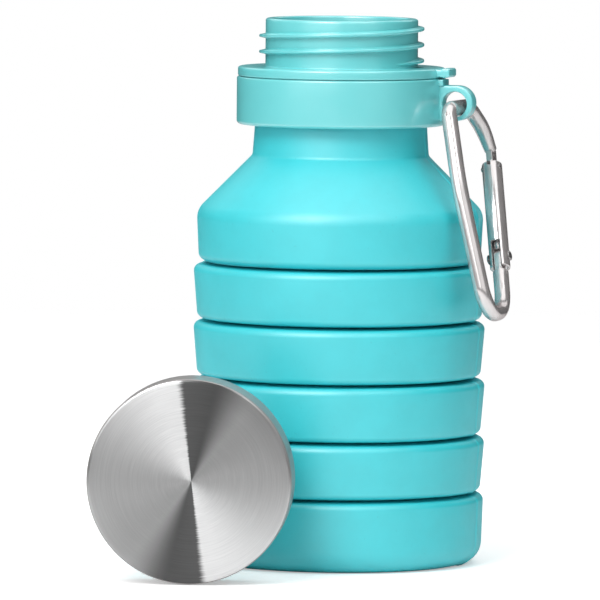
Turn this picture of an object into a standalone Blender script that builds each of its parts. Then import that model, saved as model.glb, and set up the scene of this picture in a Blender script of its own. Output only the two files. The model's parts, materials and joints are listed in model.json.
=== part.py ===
"""A folding water bottle: a silicone bellows body with a threaded plastic neck, a steel screw cap that
stands beside it, and a snap-gate carabiner that hangs from an eyelet on the collar.

The body is shown folded, with its pleats shut. The frame is in metres, +Z up, with the origin on the
bottle's axis at the middle of its underside. The viewer's side is -Y, and the carabiner hangs at +X.
"""

import math

import bmesh
import bpy
from mathutils import Matrix, Vector

MM = 0.001
AROUND = 40  # sides of a turned piece
ARC_STEPS = 3  # straight pieces in a fillet
WELD = 1e-6

# Silicone body
PLEATS = 5  # shut folds, one under each band but the base
PLEAT_PITCH = 14.0 * MM
FIRST_PLEAT_Z = 17.6 * MM  # mid-height of the lowest fold
PLEAT_GAP = 0.8 * MM  # between two bands when the body is folded
BAND_RADIUS = 36.0 * MM  # at a band's top edge
BAND_TAPER = 1.1 * MM  # how much narrower its bottom edge is
BORE_RADIUS = 32.6 * MM
BAND_TOP_FILLET = 1.7 * MM
BAND_BOTTOM_FILLET = 1.6 * MM
BASE_FILLET = 5.5 * MM
FLOOR = 2.8 * MM
RECESS_DEPTH = 0.8 * MM

# Fold webs, the thin hinges between two bands
WEB_FOLD_RADIUS = 27.0 * MM
WEB_WALL = 0.95 * MM
WEB_CLEARANCE = 0.3 * MM

# Shoulder and soft neck
SHOULDER_RADIUS = 35.3 * MM
SHOULDER_EDGE_Z = 86.4 * MM
CONE_TOP_Z = 100.1 * MM
SOFT_NECK_RADIUS = 21.15 * MM
SOFT_NECK_BORE = 19.0 * MM
BEAD_RADIUS = 24.3 * MM
BEAD_BOTTOM_Z = 115.4 * MM
BEAD_TOP_Z = 119.0 * MM

# Collar and hard neck
COLLAR_RADIUS = 25.65 * MM
COLLAR_BOTTOM_Z = 107.6 * MM
COLLAR_TOP_Z = 119.3 * MM
FLANGE_RADIUS = 25.4 * MM
FLANGE_BOTTOM_Z = 119.5 * MM
FLANGE_TOP_Z = 121.75 * MM
NECK_RADIUS = 18.7 * MM
NECK_BORE = 16.6 * MM
NECK_TOP_Z = 133.6 * MM
SKIRT_BOTTOM_Z = 104.0 * MM

# Thread, right-handed, one start
THREAD_PITCH = 3.9 * MM
THREAD_ROOT_HALF = 0.8 * MM
THREAD_CREST_HALF = 0.35 * MM
THREAD_BURIED = 0.3 * MM  # how far the ridge is sunk in the wall that carries it
THREAD_CREST_RADIUS = 20.25 * MM
THREAD_START_Z = 122.9 * MM
THREAD_START_ANGLE = math.radians(-45)
THREAD_TURNS = 2.25
RUN_OUT_STEPS = 4  # steps over which a ridge rises at its ends

# Eyelet on the collar, and the flange's lug above it
EYELET_ANGLE = math.radians(-17)
EYELET_DISTANCE = 29.4 * MM
EYELET_Z = 113.2 * MM
EYELET_RADIUS = 4.3 * MM
EYELET_RIM_SHIFT = Vector((0.3, 0.25)) * MM  # the rim is thicker away from the load
EYELET_HOLE = 3.1 * MM
EYELET_THICKNESS = 4.0 * MM
LUG_REACH = 28.4 * MM
LUG_WIDTH = 6.4 * MM
KEY_REACH = 26.7 * MM
KEY_WIDTH = 5.4 * MM

# Screw cap, standing on its rim in front of the body
CAP_RADIUS = 24.6 * MM
CAP_HEIGHT = 15.4 * MM
CAP_SHEET = 0.6 * MM
CAP_GAP = 0.3 * MM
LINER_BORE = 21.1 * MM
LINER_ROOF = 1.8 * MM
GASKET_THICKNESS = 1.2 * MM
CAP_LEAN = math.radians(0.6)  # back, towards the body
CAP_TURN = math.radians(3.2)  # away from the carabiner
CAP_PLACE = Vector((-35.9, -62.8)) * MM

# Carabiner, in its own plane: x from the spine to the gate, z up, 0 where it hangs in the eyelet
BAR_RADIUS = 2.0 * MM
HANG_TILT = math.radians(14.7)  # held off plumb by the shoulder
HANG_SEAT = Vector((0.3, -0.9)) * MM  # the bar's middle from the eyelet's, outward and up
SPINE_TOP = Vector((-8.2, 0)) * MM
SPINE_BOW = Vector((-14.6, -18.5)) * MM
TOP_BEND_CORNER = Vector((9.6, -0.1)) * MM
NOSE_CORNER = Vector((17.4, -6.1)) * MM
NOSE_TIP = Vector((19.6, -11.6)) * MM
GATE_TOP_AXIS = Vector((21.2, -8.6)) * MM  # a point on the gate's axis, above its end
FOOT_GATE_SIDE = Vector((-2.4, -51)) * MM
FOOT_SPINE_SIDE = Vector((-17.3, -51)) * MM
SPINE_TOP_BEND = 4.0 * MM
SPINE_BOW_BEND = 40.0 * MM
TOP_BEND = 10.0 * MM
NOSE_BEND = 12.0 * MM
FOOT_GATE_BEND = 10.0 * MM
FOOT_SPINE_BEND = 6.5 * MM
BAR_STEPS = 7  # straight pieces in a bend

# Gate, in its own frame: z up its length, 0 at the rivet
GATE_RADIUS = 2.5 * MM
GATE_TOP = 26.2 * MM
GATE_BOTTOM = -3.0 * MM
GATE_BORE = 1.7 * MM
GATE_BORE_TOP = 16.0 * MM
GATE_RIVET_Z = -38.0 * MM  # in the carabiner's frame
FORK_SLOT = 2.4 * MM
FORK_SLOT_TOP = 4.0 * MM
LATCH_SLOT = 2.2 * MM
LATCH_SLOT_DEPTH = 4.5 * MM
TONGUE_THICKNESS = 1.8 * MM
TONGUE_RADIUS = 1.65 * MM
BAR_END_BELOW_RIVET = 4.1 * MM
CLAW_THICKNESS = 1.6 * MM
CLAW_TIP = 3.7 * MM  # how far it reaches down inside the gate
RIVET_RADIUS = 0.75 * MM
LATCH_PIN_RADIUS = 0.5 * MM
PIN_HOLE_GAP = 0.08 * MM
LATCH_PIN_AT = Vector((-0.9 * MM, GATE_TOP - 1.5 * MM))
PLUNGER_RADIUS = 1.4 * MM
SPRING_WIRE = 0.22 * MM
SPRING_TURNS = 7


def look(name, colour, roughness, metallic=0.0):
    """A plain material."""
    material = bpy.data.materials.new(name)
    material.use_nodes = True
    shader = material.node_tree.nodes["Principled BSDF"]
    shader.inputs["Base Color"].default_value = (*colour, 1)
    shader.inputs["Roughness"].default_value = roughness
    shader.inputs["Metallic"].default_value = metallic
    return material


def filleted(corners, steps=ARC_STEPS, closed=True):
    """The points of an outline whose corners are (x, y, fillet radius)."""
    points = []
    for i, (x, y, radius) in enumerate(corners):
        corner = Vector((x, y))
        at_an_end = not closed and i in (0, len(corners) - 1)
        if radius == 0 or at_an_end:
            points.append(corner)
            continue
        before = (Vector(corners[i - 1][:2]) - corner).normalized()
        after = (Vector(corners[(i + 1) % len(corners)][:2]) - corner).normalized()
        half = before.angle(after) / 2
        centre = corner + (before + after).normalized() * radius / math.sin(half)
        start = corner + before * radius / math.tan(half) - centre
        sweep = math.pi - 2 * half
        turn = sweep if before.x * after.y < before.y * after.x else -sweep
        for k in range(steps + 1):
            points.append(centre + Matrix.Rotation(turn * k / steps, 2) @ start)
    return points


def add_object(name, shape, material, parent=None):
    """Turns a bmesh into an object, its faces pointing out."""
    bmesh.ops.remove_doubles(shape, verts=shape.verts, dist=WELD)
    bmesh.ops.recalc_face_normals(shape, faces=shape.faces)
    mesh = bpy.data.meshes.new(name)
    shape.to_mesh(mesh)
    shape.free()
    mesh.materials.append(material)
    mesh.shade_smooth()
    mesh.set_sharp_from_angle(angle=math.radians(35))
    obj = bpy.data.objects.new(name, mesh)
    bpy.context.scene.collection.objects.link(obj)
    obj.parent = parent
    return obj


def turned(name, corners, material, parent=None, around=AROUND):
    """A solid turned about its Z axis, from corners (radius, height, fillet)."""
    shape = bmesh.new()
    verts = [shape.verts.new((p.x, 0, p.y)) for p in filleted(corners)]
    for a, b in zip(verts, verts[1:] + verts[:1]):
        if a.co.x > 0 or b.co.x > 0:
            shape.edges.new((a, b))
    bmesh.ops.spin(
        shape, geom=verts + shape.edges[:], cent=(0, 0, 0), axis=(0, 0, 1),
        angle=math.tau, steps=around, use_merge=True,
    )
    return add_object(name, shape, material, parent)


def prism(name, corners, thickness, material, parent=None, steps=ARC_STEPS):
    """An outline in the XZ plane, from corners (x, z, fillet), with its thickness along Y."""
    shape = bmesh.new()
    verts = [shape.verts.new((p.x, -thickness / 2, p.y)) for p in filleted(corners, steps)]
    face = shape.faces.new(verts)
    sides = bmesh.ops.extrude_face_region(shape, geom=[face])["geom"]
    moved = [v for v in sides if isinstance(v, bmesh.types.BMVert)]
    bmesh.ops.translate(shape, verts=moved, vec=(0, thickness, 0))
    return add_object(name, shape, material, parent)


def swept(name, points, radius, bevel_resolution, material, parent=None):
    """A round bar along points (x, y, z), with flat ends."""
    curve = bpy.data.curves.new(name, "CURVE")
    curve.dimensions = "3D"
    curve.bevel_depth = radius
    curve.bevel_resolution = bevel_resolution
    curve.use_fill_caps = True
    spline = curve.splines.new("POLY")
    spline.points.add(len(points) - 1)
    for point, place in zip(spline.points, points):
        point.co = (*place, 1)
    guide = bpy.data.objects.new(name, curve)
    mesh = bpy.data.meshes.new_from_object(guide)
    bpy.data.objects.remove(guide)
    shape = bmesh.new()
    shape.from_mesh(mesh)
    bpy.data.meshes.remove(mesh)
    return add_object(name, shape, material, parent)


def rod(name, radius, length, at, material, parent=None, along="Y", sides=16):
    """A plain cylinder centred on a point, along Y or Z."""
    shape = bmesh.new()
    turn = Matrix.Rotation(math.pi / 2, 4, "X") if along == "Y" else Matrix.Identity(4)
    bmesh.ops.create_cone(
        shape, cap_ends=True, segments=sides, radius1=radius, radius2=radius, depth=length,
        matrix=Matrix.Translation(at) @ turn,
    )
    return add_object(name, shape, material, parent)


def block(name, size, at, material, parent=None):
    """A box of that size, centred on a point."""
    shape = bmesh.new()
    bmesh.ops.create_cube(shape, size=1, matrix=Matrix.Translation(at) @ Matrix.Diagonal((*size, 1)))
    return add_object(name, shape, material, parent)


def boolean(target, tool, operation):
    """Joins a tool to a target, or cuts it away, and hides the tool."""
    modifier = target.modifiers.new(f"{operation.lower()}_{tool.name}", "BOOLEAN")
    modifier.operation = operation
    modifier.object = tool
    tool.hide_render = True
    tool.display_type = "WIRE"


def frame(name, matrix, parent=None):
    """An empty that holds the pieces built in its own frame."""
    empty = bpy.data.objects.new(name, None)
    bpy.context.scene.collection.objects.link(empty)
    empty.parent = parent
    empty.matrix_local = matrix
    return empty


def thread(name, wall, crest, start_z, turns, material, parent=None):
    """A helical ridge that stands out of a wall, rising right-handed from THREAD_START_ANGLE."""
    outward = 1 if crest > wall else -1
    root = wall - outward * THREAD_BURIED
    count = round(turns * AROUND)
    shape = bmesh.new()
    rows = []
    for k in range(count + 1):
        angle = THREAD_START_ANGLE + math.tau * k / AROUND
        z = start_z + THREAD_PITCH * k / AROUND
        rise = min(k, count - k, RUN_OUT_STEPS) / RUN_OUT_STEPS
        tip = wall + (crest - wall) * (0.15 + 0.85 * rise)
        section = (
            (root, z - THREAD_ROOT_HALF), (tip, z - THREAD_CREST_HALF),
            (tip, z + THREAD_CREST_HALF), (root, z + THREAD_ROOT_HALF),
        )
        rows.append([
            shape.verts.new((r * math.cos(angle), r * math.sin(angle), height)) for r, height in section
        ])
    for low, high in zip(rows, rows[1:]):
        for j in range(4):
            shape.faces.new((low[j], low[j - 1], high[j - 1], high[j]))
    shape.faces.new(rows[0])
    shape.faces.new(reversed(rows[-1]))
    return add_object(name, shape, material, parent)


def make_base(silicone):
    """The lowest band, closed by the floor, with a ring-shaped recess under it."""
    top = FIRST_PLEAT_Z - PLEAT_GAP / 2
    turned("base_cup", [
        (0, 0, 0),
        (12 * MM, 0, 0),
        (13 * MM, RECESS_DEPTH, 0),
        (23 * MM, RECESS_DEPTH, 0),
        (24 * MM, 0, 0),
        (BAND_RADIUS - 0.8 * MM, 0, BASE_FILLET),
        (BAND_RADIUS - 0.2 * MM, top, BAND_TOP_FILLET),
        (BORE_RADIUS, top, 0),
        (BORE_RADIUS, FLOOR, 3 * MM),
        (0, FLOOR, 0),
    ], silicone)


def make_band(number, silicone):
    """A thick band between two folds, a little narrower at its bottom."""
    bottom = FIRST_PLEAT_Z + (number - 1) * PLEAT_PITCH + PLEAT_GAP / 2
    top = bottom + PLEAT_PITCH - PLEAT_GAP
    turned(f"pleat_band_{number}", [
        (BORE_RADIUS, bottom, 0),
        (BAND_RADIUS - BAND_TAPER, bottom, BAND_BOTTOM_FILLET),
        (BAND_RADIUS, top, BAND_TOP_FILLET),
        (BORE_RADIUS, top, 0),
    ], silicone)


def make_fold_web(number, silicone):
    """The thin V of silicone behind a shut fold, which opens as the body is pulled out."""
    middle = FIRST_PLEAT_Z + (number - 1) * PLEAT_PITCH
    outer = BORE_RADIUS - WEB_CLEARANCE
    inner_face = 0.3 * MM  # half the slit between the two flaps
    outer_face = inner_face + WEB_WALL
    turned(f"fold_web_{number}", [
        (outer, middle + inner_face, 0),
        (outer, middle + outer_face, 0),
        (WEB_FOLD_RADIUS, middle + outer_face * 0.8, 0),
        (WEB_FOLD_RADIUS - 0.5 * MM, middle, 0),
        (WEB_FOLD_RADIUS, middle - outer_face * 0.8, 0),
        (outer, middle - outer_face, 0),
        (outer, middle - inner_face, 0),
        (WEB_FOLD_RADIUS + WEB_WALL, middle, 0),
    ], silicone)


def make_shoulder(silicone):
    """The top band, the cone and the soft neck, which ends in a bead inside the collar."""
    bottom = FIRST_PLEAT_Z + (PLEATS - 1) * PLEAT_PITCH + PLEAT_GAP / 2
    turned("shoulder", [
        (BORE_RADIUS, bottom, 0),
        (SHOULDER_RADIUS - 0.6 * MM, bottom, 2.0 * MM),
        (SHOULDER_RADIUS, SHOULDER_EDGE_Z, 5 * MM),
        (SOFT_NECK_RADIUS + 0.6 * MM, CONE_TOP_Z, 1.5 * MM),
        (SOFT_NECK_RADIUS, COLLAR_BOTTOM_Z, 0),
        (SOFT_NECK_RADIUS, BEAD_BOTTOM_Z, 0),
        (BEAD_RADIUS, BEAD_BOTTOM_Z, 0),
        (BEAD_RADIUS, BEAD_TOP_Z, 0),
        (SOFT_NECK_BORE, BEAD_TOP_Z, 0),
        (SOFT_NECK_BORE, CONE_TOP_Z - 0.6 * MM, 1.5 * MM),
        (BORE_RADIUS, SHOULDER_EDGE_Z - 0.6 * MM, 4 * MM),
    ], silicone)


def make_neck(plastic):
    """The hard spout: a skirt inside the soft neck, a flange over the collar, and the threaded mouth."""
    neck = turned("neck_insert", [
        (NECK_BORE, SKIRT_BOTTOM_Z, 0),
        (NECK_RADIUS - 0.8 * MM, SKIRT_BOTTOM_Z, 0),
        (NECK_RADIUS - 0.1 * MM, SKIRT_BOTTOM_Z + 2 * MM, 0),
        (NECK_RADIUS - 0.1 * MM, FLANGE_BOTTOM_Z, 0),
        (FLANGE_RADIUS, FLANGE_BOTTOM_Z, 0.35 * MM),
        (FLANGE_RADIUS, FLANGE_TOP_Z, 0.6 * MM),
        (NECK_RADIUS, FLANGE_TOP_Z, 0),
        (NECK_RADIUS, NECK_TOP_Z, 0.6 * MM),
        (NECK_BORE, NECK_TOP_Z, 0.5 * MM),
    ], plastic)
    ridge = thread(
        "neck_thread_ridge", NECK_RADIUS, THREAD_CREST_RADIUS, THREAD_START_Z, THREAD_TURNS, plastic
    )
    boolean(neck, ridge, "UNION")
    radial = frame("lug_frame", Matrix.Rotation(EYELET_ANGLE, 4, "Z"))
    lug_bottom = FLANGE_BOTTOM_Z + 0.45 * MM
    groove = LUG_REACH - 1.9 * MM  # a shallow nick before the lug's rounded lip
    lug = prism("flange_lug", [
        (FLANGE_RADIUS - 3 * MM, lug_bottom, 0),
        (LUG_REACH, lug_bottom, 0.7 * MM),
        (LUG_REACH, FLANGE_TOP_Z + 0.15 * MM, 0.7 * MM),
        (groove + 0.2 * MM, FLANGE_TOP_Z + 0.15 * MM, 0),
        (groove, FLANGE_TOP_Z - 0.3 * MM, 0),
        (FLANGE_RADIUS - 3 * MM, FLANGE_TOP_Z - 0.3 * MM, 0),
    ], LUG_WIDTH, plastic, radial)
    boolean(neck, lug, "UNION")


def make_collar(plastic):
    """The ring that clamps the soft neck, with the eyelet and the key that the flange's lug sits over."""
    collar = turned("collar_ring", [
        (SOFT_NECK_RADIUS + 0.5 * MM, COLLAR_BOTTOM_Z, 0),
        (COLLAR_RADIUS, COLLAR_BOTTOM_Z, 1.0 * MM),
        (COLLAR_RADIUS, COLLAR_TOP_Z, 0.4 * MM),
        (BEAD_RADIUS + 0.4 * MM, COLLAR_TOP_Z, 0),
        (BEAD_RADIUS + 0.4 * MM, BEAD_BOTTOM_Z - 0.4 * MM, 0),
        (SOFT_NECK_RADIUS + 0.5 * MM, BEAD_BOTTOM_Z - 0.4 * MM, 0),
    ], plastic)
    radial = frame("eyelet_frame", Matrix.Rotation(EYELET_ANGLE, 4, "Z"))
    root = BEAD_RADIUS + 0.8 * MM
    low = EYELET_Z + EYELET_RIM_SHIFT.y - EYELET_RADIUS
    high = EYELET_Z + EYELET_RIM_SHIFT.y + EYELET_RADIUS
    end = EYELET_DISTANCE + EYELET_RIM_SHIFT.x + EYELET_RADIUS
    round_end = EYELET_RADIUS * 0.995
    ear = prism("eyelet_ear", [
        (root, low, 0), (end, low, round_end), (end, high, round_end), (root, high, 0),
    ], EYELET_THICKNESS, plastic, radial, steps=7)
    key_height = 1.6 * MM
    key = block(
        "collar_key",
        (KEY_REACH - root, KEY_WIDTH, key_height),
        ((KEY_REACH + root) / 2, 0, COLLAR_TOP_Z - key_height / 2 - 0.05 * MM),
        plastic, radial,
    )
    hole = rod(
        "eyelet_hole", EYELET_HOLE, 3 * EYELET_THICKNESS, (EYELET_DISTANCE, 0, EYELET_Z),
        plastic, radial, sides=24,
    )
    boolean(collar, ear, "UNION")
    boolean(collar, key, "UNION")
    boolean(collar, hole, "DIFFERENCE")


def cap_matrix():
    """The cap's frame: its steel face is at z 0 and looks along +Z, and its lowest rim is on the floor."""
    face = Vector((
        -math.sin(CAP_TURN) * math.cos(CAP_LEAN),
        -math.cos(CAP_TURN) * math.cos(CAP_LEAN),
        math.sin(CAP_LEAN),
    ))
    across = Vector((0, 0, 1)).cross(face).normalized()
    height = CAP_RADIUS * math.cos(CAP_LEAN) + CAP_HEIGHT * math.sin(CAP_LEAN)
    turn = Matrix((across, face.cross(across), face)).transposed().to_4x4()
    return Matrix.Translation((*CAP_PLACE, height)) @ turn


def make_cap(steel, plastic, seal):
    """The drawn steel cover, the threaded liner inside it, and the flat gasket under the liner's roof."""
    cap = frame("cap_frame", cap_matrix())
    inner = CAP_RADIUS - CAP_SHEET
    turned("cap_cover", [
        (0, 0, 0),
        (CAP_RADIUS, 0, 1.1 * MM),
        (CAP_RADIUS, -CAP_HEIGHT, 0),
        (inner, -CAP_HEIGHT, 0),
        (inner, -CAP_SHEET, 0.5 * MM),
        (0, -CAP_SHEET, 0),
    ], steel, cap)
    roof = -CAP_SHEET - CAP_GAP
    ceiling = roof - LINER_ROOF
    liner = turned("cap_liner", [
        (0, roof, 0),
        (inner - CAP_GAP, roof, 0.8 * MM),
        (inner - CAP_GAP, -CAP_HEIGHT + CAP_GAP, 0),
        (LINER_BORE, -CAP_HEIGHT + CAP_GAP, 0.5 * MM),
        (LINER_BORE, ceiling, 0),
        (0, ceiling, 0),
    ], plastic, cap)
    clearance = THREAD_CREST_RADIUS - NECK_RADIUS
    ridge = thread(
        "cap_thread_ridge", LINER_BORE, LINER_BORE - clearance, -13.0 * MM, 1.75, plastic, cap
    )
    boolean(liner, ridge, "UNION")
    gasket_top = ceiling - CAP_GAP
    turned("cap_gasket", [
        (NECK_BORE - 1.0 * MM, gasket_top, 0),
        (NECK_BORE - 1.0 * MM, gasket_top - GASKET_THICKNESS, 0.3 * MM),
        (LINER_BORE - 0.5 * MM, gasket_top - GASKET_THICKNESS, 0.3 * MM),
        (LINER_BORE - 0.5 * MM, gasket_top, 0),
    ], seal, cap)


def carabiner_matrix():
    """The carabiner's frame, at the bar's middle in the eyelet, tilted out over the shoulder."""
    turn = Matrix.Rotation(EYELET_ANGLE, 4, "Z")
    place = turn @ Vector((EYELET_DISTANCE + HANG_SEAT.x, 0, EYELET_Z + HANG_SEAT.y))
    along_bar = turn @ Vector((0, 1, 0))
    outward = turn @ Vector((1, 0, 0))
    up = math.cos(HANG_TILT) * Vector((0, 0, 1)) - math.sin(HANG_TILT) * outward
    axes = Matrix((along_bar, up.cross(along_bar), up)).transposed().to_4x4()
    return Matrix.Translation(place) @ axes


def gate_line():
    """The gate's foot, at the rivet, and its direction, in the carabiner's plane."""
    direction = (GATE_TOP_AXIS - FOOT_GATE_SIDE).normalized()
    rivet = GATE_TOP_AXIS + direction * (GATE_RIVET_Z - GATE_TOP_AXIS.y) / direction.y
    return rivet, direction


def make_carabiner(metal):
    """The bent bar, from its tongue at the gate's rivet round to the claw at the nose, and the gate."""
    carabiner = frame("carabiner_frame_axis", carabiner_matrix())
    rivet, direction = gate_line()
    lean = math.atan2(direction.x, direction.y)
    gate = frame(
        "gate_axis",
        Matrix.Translation((rivet.x, 0, rivet.y)) @ Matrix.Rotation(lean, 4, "Y"),
        carabiner,
    )
    path = filleted([
        (*(rivet - direction * BAR_END_BELOW_RIVET), 0),
        (*FOOT_GATE_SIDE, FOOT_GATE_BEND),
        (*FOOT_SPINE_SIDE, FOOT_SPINE_BEND),
        (*SPINE_BOW, SPINE_BOW_BEND),
        (*SPINE_TOP, SPINE_TOP_BEND),
        (*TOP_BEND_CORNER, TOP_BEND),
        (*NOSE_CORNER, NOSE_BEND),
        (*NOSE_TIP, 0),
    ], BAR_STEPS, closed=False)
    bar = swept("carabiner_bar", [(p.x, 0, p.y) for p in path], BAR_RADIUS, 3, metal, carabiner)
    buried = 1.5 * MM
    tongue = prism("bar_tongue", [
        (-TONGUE_RADIUS, -BAR_END_BELOW_RIVET - buried, 0),
        (TONGUE_RADIUS, -BAR_END_BELOW_RIVET - buried, 0),
        (TONGUE_RADIUS, TONGUE_RADIUS, TONGUE_RADIUS * 0.99),
        (-TONGUE_RADIUS, TONGUE_RADIUS, TONGUE_RADIUS * 0.99),
    ], TONGUE_THICKNESS, metal, gate)
    claw_bottom = GATE_TOP - CLAW_TIP
    claw_top = (NOSE_TIP - rivet).dot(direction) + 0.6 * MM
    claw = prism("nose_claw", [
        (-1.5 * MM, claw_top, 0),
        (-1.5 * MM, GATE_TOP + 0.4 * MM, 0),
        (-0.1 * MM, GATE_TOP - 0.2 * MM, 0),
        (-0.1 * MM, claw_bottom + 1.3 * MM, 0),
        (-1.2 * MM, claw_bottom + 1.1 * MM, 0),
        (-1.0 * MM, claw_bottom, 0),
        (1.4 * MM, claw_bottom, 0),
        (1.9 * MM, GATE_TOP + 0.4 * MM, 0),
        (1.9 * MM, claw_top, 0),
    ], CLAW_THICKNESS, metal, gate)
    rivet_hole = rod(
        "tongue_hole", RIVET_RADIUS + PIN_HOLE_GAP, 4 * BAR_RADIUS, (0, 0, 0), metal, gate
    )
    boolean(bar, tongue, "UNION")
    boolean(bar, claw, "UNION")
    boolean(bar, rivet_hole, "DIFFERENCE")
    make_gate(metal, gate)


def make_gate(metal, gate):
    """The gate's tube, forked over the tongue and the claw, with its rivet, latch pin, plunger and spring."""
    tube = turned("carabiner_gate", [
        (0, GATE_TOP, 0),
        (0, GATE_BORE_TOP, 0),
        (GATE_BORE, GATE_BORE_TOP, 0),
        (GATE_BORE, GATE_BOTTOM, 0),
        (GATE_RADIUS, GATE_BOTTOM, 0.4 * MM),
        (GATE_RADIUS, GATE_TOP, 0.5 * MM),
    ], metal, gate, around=20)
    wide = 4 * GATE_RADIUS
    fork_bottom = GATE_BOTTOM - 2 * MM
    fork = block(
        "fork_slot", (wide, FORK_SLOT, FORK_SLOT_TOP - fork_bottom),
        (0, 0, (FORK_SLOT_TOP + fork_bottom) / 2), metal, gate,
    )
    latch = block(
        "latch_slot", (wide, LATCH_SLOT, 2 * LATCH_SLOT_DEPTH), (0, 0, GATE_TOP), metal, gate
    )
    for tool in (
        fork,
        latch,
        rod("rivet_hole", RIVET_RADIUS + PIN_HOLE_GAP, wide, (0, 0, 0), metal, gate),
        rod(
            "latch_pin_hole", LATCH_PIN_RADIUS + PIN_HOLE_GAP, wide,
            (LATCH_PIN_AT.x, 0, LATCH_PIN_AT.y), metal, gate, sides=12,
        ),
    ):
        boolean(tube, tool, "DIFFERENCE")
    make_pin("gate_rivet", RIVET_RADIUS, 1.25 * MM, GATE_RADIUS + 0.3 * MM, (0, 0), metal, gate)
    make_pin(
        "gate_latch_pin", LATCH_PIN_RADIUS, 0.8 * MM, GATE_RADIUS + 0.15 * MM, LATCH_PIN_AT, metal, gate
    )
    plunger_bottom = TONGUE_RADIUS + 0.3 * MM
    plunger_top = plunger_bottom + 4 * MM
    turned("gate_plunger", [
        (0, plunger_bottom, 0),
        (PLUNGER_RADIUS * 0.8, plunger_bottom, 0.4 * MM),
        (PLUNGER_RADIUS, plunger_bottom + 1 * MM, 0),
        (PLUNGER_RADIUS, plunger_top, 0),
        (0, plunger_top, 0),
    ], metal, gate, around=16)
    make_spring(plunger_top + 0.3 * MM, GATE_BORE_TOP - 0.3 * MM, metal, gate)


def make_pin(name, radius, head_radius, half_length, at, metal, gate):
    """A pin across the gate, with a low domed head at each end."""
    head = 0.45 * MM
    axis = frame(
        f"{name}_axis",
        Matrix.Translation((at[0], 0, at[1])) @ Matrix.Rotation(math.pi / 2, 4, "X"),
        gate,
    )
    turned(name, [
        (0, half_length + head, 0),
        (0, -half_length - head, 0),
        (head_radius * 0.7, -half_length - head, 0),
        (head_radius, -half_length, 0),
        (radius, -half_length, 0),
        (radius, half_length, 0),
        (head_radius, half_length, 0),
        (head_radius * 0.7, half_length + head, 0),
    ], metal, axis, around=12)


def make_spring(bottom, top, metal, gate):
    """The coil spring that shuts the gate, between the plunger and the end of the bore."""
    coil_radius = PLUNGER_RADIUS - SPRING_WIRE - 0.1 * MM
    steps = SPRING_TURNS * 10
    low, high = bottom + SPRING_WIRE, top - SPRING_WIRE
    points = [
        (
            coil_radius * math.cos(math.tau * SPRING_TURNS * k / steps),
            coil_radius * math.sin(math.tau * SPRING_TURNS * k / steps),
            low + (high - low) * k / steps,
        )
        for k in range(steps + 1)
    ]
    swept("gate_spring", points, SPRING_WIRE, 0, metal, gate)


def main():
    for old in list(bpy.data.objects):
        bpy.data.objects.remove(old)
    silicone = look("turquoise_silicone", (0.06, 0.62, 0.70), 0.6)
    plastic = look("turquoise_plastic", (0.16, 0.75, 0.76), 0.2)
    steel = look("brushed_steel", (0.62, 0.62, 0.62), 0.3, 1.0)
    metal = look("polished_alloy", (0.78, 0.78, 0.78), 0.12, 1.0)
    seal = look("white_silicone", (0.85, 0.85, 0.83), 0.5)
    make_base(silicone)
    for number in range(1, PLEATS):
        make_band(number, silicone)
    for number in range(1, PLEATS + 1):
        make_fold_web(number, silicone)
    make_shoulder(silicone)
    make_neck(plastic)
    make_collar(plastic)
    make_cap(steel, plastic, seal)
    make_carabiner(metal)


main()
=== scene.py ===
"""A folding water bottle of turquoise silicone, with its glossy threaded spout. Its brushed steel cap stands
in front of it and a polished carabiner hangs from its collar. The floor is pale and the studio light soft.

The CAD's solids stay in the physics. Every visible surface here is a finer mesh over them, turned, swept or
extruded in code, in the same frame. The bottle's lengths are in millimetres until a mesh is made. Those of
the studio and of the materials are in metres.
"""

import json
import math

import bmesh
import bpy
import numpy as np
from mathutils import Matrix, Vector


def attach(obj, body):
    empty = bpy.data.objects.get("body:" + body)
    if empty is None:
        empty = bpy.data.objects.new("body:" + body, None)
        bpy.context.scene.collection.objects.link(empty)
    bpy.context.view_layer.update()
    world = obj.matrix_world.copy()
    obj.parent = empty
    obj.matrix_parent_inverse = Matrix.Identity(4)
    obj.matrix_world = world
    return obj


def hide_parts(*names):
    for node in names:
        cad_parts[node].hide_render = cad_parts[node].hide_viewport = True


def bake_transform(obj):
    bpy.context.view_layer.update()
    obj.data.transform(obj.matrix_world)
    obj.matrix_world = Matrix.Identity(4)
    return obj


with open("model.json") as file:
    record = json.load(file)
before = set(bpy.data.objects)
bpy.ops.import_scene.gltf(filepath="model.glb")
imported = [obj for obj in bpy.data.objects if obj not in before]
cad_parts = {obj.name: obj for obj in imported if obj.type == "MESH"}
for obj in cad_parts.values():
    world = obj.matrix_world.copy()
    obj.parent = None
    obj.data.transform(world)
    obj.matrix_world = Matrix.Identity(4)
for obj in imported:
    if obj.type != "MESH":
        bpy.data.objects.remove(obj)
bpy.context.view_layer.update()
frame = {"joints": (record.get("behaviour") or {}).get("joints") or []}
JOINTS = {joint["name"]: joint for joint in frame["joints"]}

MM = 0.001
AROUND = 192  # sides of a turned piece

# Silicone body, as in the CAD
PLEATS = 5
PITCH = 14.0
FIRST_PLEAT = 17.6
GAP = 0.8
BORE = 32.6
BAND_TOP_RADIUS = 36.0
BAND_BOTTOM_RADIUS = 34.9
BODIES_UP = ["base", "band_1", "band_2", "band_3", "band_4", "shoulder"]

# Mould parting line on the silicone: a thin ridge on two opposite sides
SEAM_ANGLES = (math.radians(-17), math.radians(163))
SEAM_HEIGHT = 0.24
SEAM_HALF_WIDTH = 0.30
SEAM_STEPS = 8

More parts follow.
